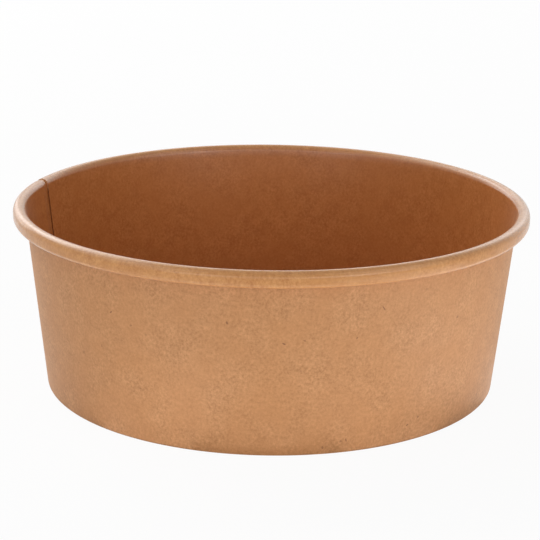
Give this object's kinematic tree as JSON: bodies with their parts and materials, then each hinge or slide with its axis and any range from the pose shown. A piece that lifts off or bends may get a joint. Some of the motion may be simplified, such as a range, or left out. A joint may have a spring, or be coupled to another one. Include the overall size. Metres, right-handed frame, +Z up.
{
  "type": "paper bowl",
  "caption": "Round kraft paper food bowl with a conical wall, an outward-rolled rim, a lapped side seam and a recessed base held in a folded foot",
  "frame": {"origin": "on the ground, at the middle of the foot", "axes": "+Z is up along the bowl's axis; -Y is the side that faces the viewer in the reference picture; the wall's side seam is at the left and a little behind, 163 degrees from +X towards +Y"},
  "size_m": [0.185, 0.185, 0.0658],
  "materials": {
    "kraft_wall": "matte",
    "kraft_base": "matte"
  },
  "bodies": {
    "root": {"side_wall": "kraft_wall", "base_disc": "kraft_base"}
  },
  "joints": []
}
